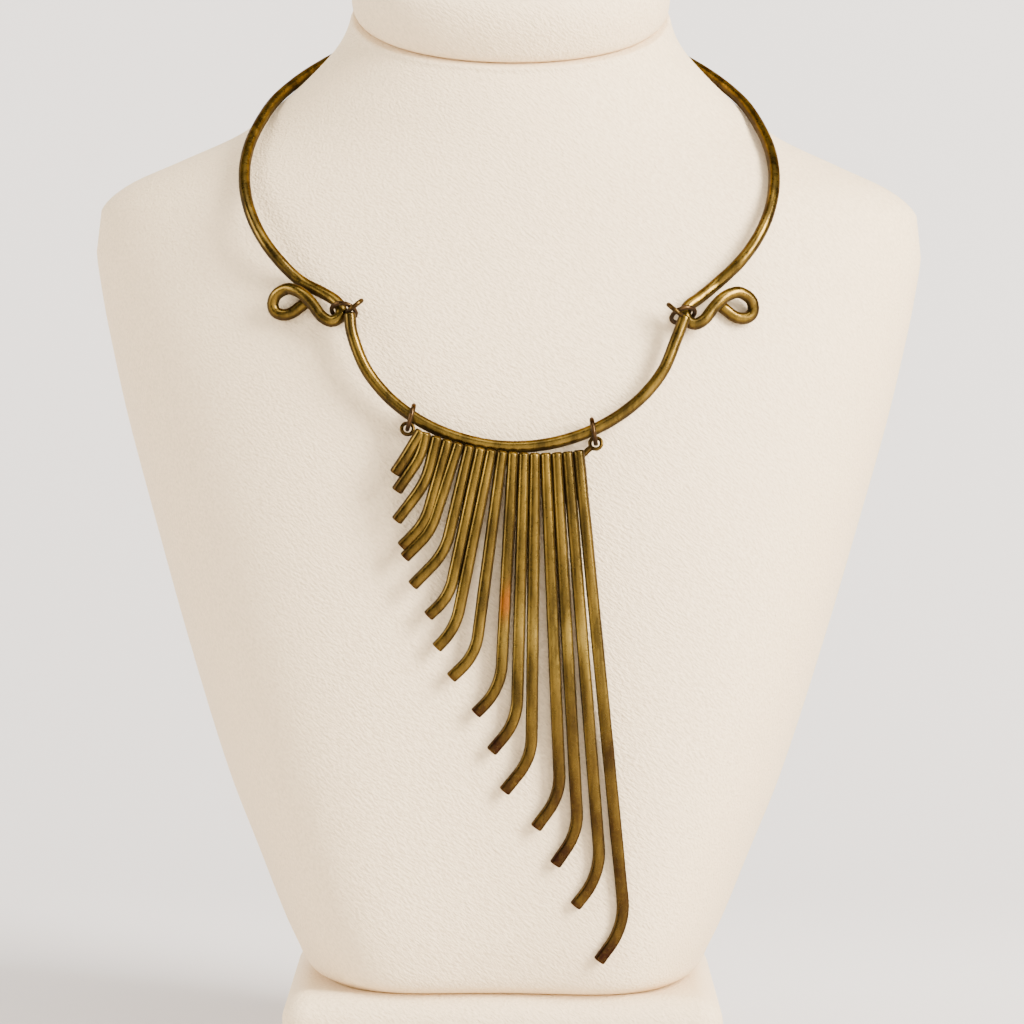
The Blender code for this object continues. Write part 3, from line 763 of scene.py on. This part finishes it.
def make_jump_ring(name, node, centre, axis, turn):
    mesh, layers = new_metal()
    radius = (RING_OUTER - RING_WIRE) / 2
    path = ring_path(centre, axis.normalized(), radius, cut=math.radians(2.5), turn=turn)
    add_wire(mesh, layers, path, RING_WIRE, sides=16, seed=turn, dome=0.05)
    material = antique_brass(name + "_patina", BRONZE_GOLD, BRONZE_OLIVE, BRONZE_BROWN)
    return link_mesh(mesh, name, material, node + "_bronze", node)


def rod_x(number):
    """Where a rod hangs on the bar. The first one is crowded against the second."""
    return FIRST_ROD_X + number * ROD_PITCH + (0 if number else FIRST_ROD_CROWDING)


def rod_top(x):
    return TOP_LINE_Z + (x - TOP_LINE_X)**2 / (2 * TOP_LINE_RADIUS)


def rod_size(run):
    share = min(1, run / FLATTENING)
    return (ROD_TOP_WIDTH + share * (ROD_LOW_WIDTH - ROD_TOP_WIDTH),
            ROD_TOP_WIDTH + share * (ROD_LOW_THICKNESS - ROD_TOP_WIDTH))


def rod_path(number):
    """A rod's middle line in the front view as places, headings and distances from its top."""
    lean, turned, straight, tip, bend = RODS[number]
    lean, turned = math.radians(lean), math.radians(turned)
    x = rod_x(number)
    place = Vector((x, 0, rod_top(x)))
    path = [(place, lean, 0)]
    step = 1.0 * MM
    lengths = (straight * LONGEST_ROD, bend * LONGEST_ROD * abs(turned - lean), tip * LONGEST_ROD)
    run = 0
    for stage, length in enumerate(lengths):
        pieces = max(1, round(length / step))
        for i in range(pieces):
            share = (i + 0.5) / pieces
            heading = (lean, lean + (turned - lean) * share, turned)[stage]
            place = place + Vector((-math.sin(heading), 0, -math.cos(heading))) * length / pieces
            run += length / pieces
            path.append((place, heading, run))
    return path


def add_rod(mesh, layers, number, rod_y):
    """One rod: round at its top, hammered flatter below, its cut end softened."""
    path = rod_path(number)
    total = path[-1][2]
    stations = []
    for i in range(4):
        angle = math.pi / 2 * i / 4
        lift = TIP_ROUNDING * (1 - math.sin(angle))
        stations.append((path[0][0] + UP * lift, path[0][1], 0, 1 - 0.42 * (1 - math.sin(angle + 0.25))))
    stations += [(place, heading, run, 1.0) for place, heading, run in path]
    along = Vector((-math.sin(path[-1][1]), 0, -math.cos(path[-1][1])))
    for i in range(1, 6):
        angle = math.pi / 2 * i / 5
        stations.append((path[-1][0] + along * TIP_ROUNDING * 0.8 * math.sin(angle), path[-1][1], total,
                         1 - 0.36 * (1 - math.cos(angle))))
    rings = []
    for place, heading, run, share in stations:
        width, thickness = rod_size(run)
        flatness = min(1, run / FLATTENING)
        width *= DRAWN_ROD_TOP + flatness * (DRAWN_ROD_LOW - DRAWN_ROD_TOP)
        width *= 1 + 0.03 * noise.noise(Vector((number * 7.3, run * 130, 0)))
        squareness = 2 + 0.9 * flatness
        across = Vector((math.cos(heading), 0, -math.sin(heading)))
        ring = []
        for i in range(ROD_SIDES):
            turn = 2 * math.pi * (i + 0.5) / ROD_SIDES
            c, s = math.cos(turn), math.sin(turn)
            swell = share * (abs(c)**squareness + abs(s)**squareness)**(-1 / squareness)
            # The back half flares out near the top so its dark flank fills the gap between rods as painted
            # shade.
            flare = 1 + GAP_SHADE_FLARE * (1 - flatness) * smoothstep(0.2, -0.35, s)
            ring.append((place + across * width / 2 * c * swell * flare + FORWARD * thickness / 2 * s * swell
                         + BACK * rod_y(place.z), s, run))
        rings.append(ring)
    for loop, ring in zip(skin(mesh, [[point for point, _, _ in ring] for ring in rings]), rings):
        for vert, (_, facing, run) in zip(loop, ring):
            age_rod(layers, vert, number, facing, run, total)


def age_rod(layers, vert, number, facing, run, total):
    """Painted shade on the flanks, a darker tip, browner low parts, and a painted highlight band across the
    middle of the long rods.
    """
    uneven = 0.1 * noise.noise(vert.co * 150 + Vector((number, 0, 0)))
    newness = smoothstep(2, 7, number)
    # Painted shade: the rods' flanks and backs are set dark, and their fronts buffed bright.
    rubbed_unshaded_front = smoothstep(0.48, 0.84, facing + uneven) * (0.8 + 0.2 * newness)
    vert[layers["rub_and_flank_shade"]] = SHADED_FLANK_METAL + (1 - SHADED_FLANK_METAL) * rubbed_unshaded_front
    front = smoothstep(0.45, 0.85, facing)
    # Painted highlight: a bright band across the fronts of the long rods.
    band = math.exp(-((vert.co.z - (BAND_Z - BAND_SLOPE * (number - 9))) / BAND_WIDTH)**2)
    patchy = 0.8 + 0.6 * noise.noise(vert.co * 120 + Vector((0, number, 3)))
    vert[layers["highlight_band"]] = 0.8 * band * smoothstep(7.5, 10.5, number) * front * patchy
    # The rods turn browner towards their lower ends and at their cut tips.
    low = 0.6 * smoothstep(45 * MM, 85 * MM, run)
    left = total - run
    tip = 0.35 * smoothstep(7 * MM, 1.5 * MM, left) + 0.55 * smoothstep(1.2 * MM, 0.3 * MM, left)
    vert[layers["darkening"]] = min(1, (low + tip) * (0.95 + 0.6 * noise.noise(vert.co * 160)))
    spot = math.exp(-((vert.co.z - COPPER_Z) / (4 * MM))**2) if number == COPPER_ROD else 0
    vert[layers["copper"]] = 0.8 * spot * front


def make_bib(surface, lows):
    mesh, layers = new_metal()
    bar_y = min(low.y for low, _ in lows)
    top_y = bar_y - (BAR_DIAMETER + ROD_TOP_WIDTH) / 2 + SOLDER
    slopes = [0]
    for i in range(1, 26):
        run = LONGEST_ROD * i / 26
        front = min(chest_y(surface, x, TOP_LINE_Z - run) for x in (FIRST_ROD_X, 0, -FIRST_ROD_X))
        allowed = front - GAP - rod_size(run)[1] / 2
        slopes.append((top_y - allowed) / run)
    slope = max(slopes)

    def rod_y(z):
        return top_y - slope * (TOP_LINE_Z - z)

    bar = []
    for i in range(ROD_COUNT):
        x = rod_x(i)
        bar.append(Vector((x, bar_y, rod_top(x) - BAR_BELOW_TOPS)))
        add_rod(mesh, layers, i, rod_y)
    loop = (BIB_EYE_OUTER - BIB_EYE_WIRE) / 2
    necks = []
    for end, (low, run) in zip((bar[0], bar[-1]), lows):
        add_eye(mesh, layers, low, run, BIB_EYE_OUTER, BIB_EYE_WIRE)
        necks.append(low + (end - low).normalized() * loop)
    add_wire(mesh, layers, smooth_path([necks[0], *bar, necks[1]], 1 * MM), BAR_DIAMETER, sides=14, dome=0.1,
             dark=DARK_FITTINGS)
    return link_mesh(mesh, "rod_bib", antique_brass("bib_patina"), "bib_brass", "bib")


def make_necklace():
    surface = solid_surface("bust_form")
    make_neck_wire(surface)
    arc = arc_route(surface)
    make_arc(arc)
    for side, name in ((-1, "left"), (1, "right")):
        offset, axis, _ = JOINTS[side]
        centre = hook_point(surface, side, HOOK_OPENING) + inwards(side, offset)
        make_jump_ring(f"collar_ring_{name}", f"hook_ring_{name}", centre, inwards(side, axis), 1.2)
    lows = []
    for name, x, lean in zip(("left", "right"), BIB_RING_X, BIB_RING_LEAN):
        centre, axis, low, run = hang_ring(arc, x, lean)
        make_jump_ring(f"drop_ring_{name}", f"bib_ring_{name}", centre, axis, 2.2)
        lows.append((low, run))
    make_bib(surface, lows)


def make_camera():
    data = bpy.data.cameras.new("camera")
    data.lens = CAMERA_LENS
    data.sensor_width = CAMERA_SENSOR
    camera = bpy.data.objects.new("camera", data)
    bpy.context.scene.collection.objects.link(camera)
    camera.location = CAMERA_PLACE
    ahead = Vector((0, math.cos(CAMERA_TILT), -math.sin(CAMERA_TILT)))
    level_up = Vector((0, math.sin(CAMERA_TILT), math.cos(CAMERA_TILT)))
    right = Vector((1, 0, 0)) * math.cos(CAMERA_ROLL) + level_up * math.sin(CAMERA_ROLL)
    up = level_up * math.cos(CAMERA_ROLL) - Vector((1, 0, 0)) * math.sin(CAMERA_ROLL)
    camera.rotation_euler = Matrix((right, up, -ahead)).transposed().to_euler()
    bpy.context.scene.camera = camera


def make_sweep():
    """Pale paper sweep: a floor that curves up into a wall, which is clear when seen from behind."""
    profile = [Vector((0, -2.6, 0)), Vector((0, 0.35, 0))]
    radius = 0.6
    for i in range(1, 25):
        angle = math.pi / 2 * i / 24
        profile.append(Vector((0, 0.35 + radius * math.sin(angle), radius * (1 - math.cos(angle)))))
    profile.append(Vector((0, 0.95, 3.2)))
    mesh = bmesh.new()
    rows = [[mesh.verts.new(point + Vector((x, 0, 0))) for x in (-3.5, 3.5)] for point in profile]
    for lower, upper in zip(rows, rows[1:]):
        mesh.faces.new((lower[0], lower[1], upper[1], upper[0]))
    data = bpy.data.meshes.new("sweep")
    mesh.to_mesh(data)
    mesh.free()
    data.shade_smooth()
    shader = Shader("sweep_paper")
    shade = shader.mix(shader.noise(3, 2), PAPER_DARK, PAPER_LIGHT)
    shader.plug("Base Color", shade)
    shader.plug("Roughness", 0.9)
    shader.clear_from_behind()
    data.materials.append(shader.material)
    sweep = bpy.data.objects.new("sweep", data)
    bpy.context.scene.collection.objects.link(sweep)


def add_light(name, place, target, size, power, color):
    data = bpy.data.lights.new(name, "AREA")
    data.shape = "RECTANGLE"
    data.size, data.size_y = size
    data.energy = power
    data.color = color
    light = bpy.data.objects.new(name, data)
    bpy.context.scene.collection.objects.link(light)
    light.location = place
    light.rotation_euler = (Vector(target) - Vector(place)).to_track_quat("-Z", "Y").to_euler()


def make_lights():
    world = bpy.data.worlds.new("studio")
    world.use_nodes = True
    background = world.node_tree.nodes["Background"]
    background.inputs["Color"].default_value = (0.97, 0.985, 1.0, 1)
    background.inputs["Strength"].default_value = 0.2
    bpy.context.scene.world = world
    add_light("key", (1.0, -0.74, 0.82), (0.02, 0, 0.17), (0.45, 0.95), 90, (1.0, 0.98, 0.95))
    add_light("fill", (-1.65, -0.5, 0.7), (0, 0, 0.15), (0.8, 1.2), 46, (1.0, 0.985, 0.96))
    add_light("top", (0.1, -0.6, 1.8), (0, 0, 0.15), (1.4, 0.6), 18, (1.0, 0.985, 0.965))
    add_light("front", (0.45, -2.0, 0.65), (0, 0, 0.15), (2.0, 1.4), 21, (1.0, 0.985, 0.965))


make_camera()
make_sweep()
make_lights()
make_form()
make_cap()
make_base()
make_necklace()

bpy.context.view_layer.update()
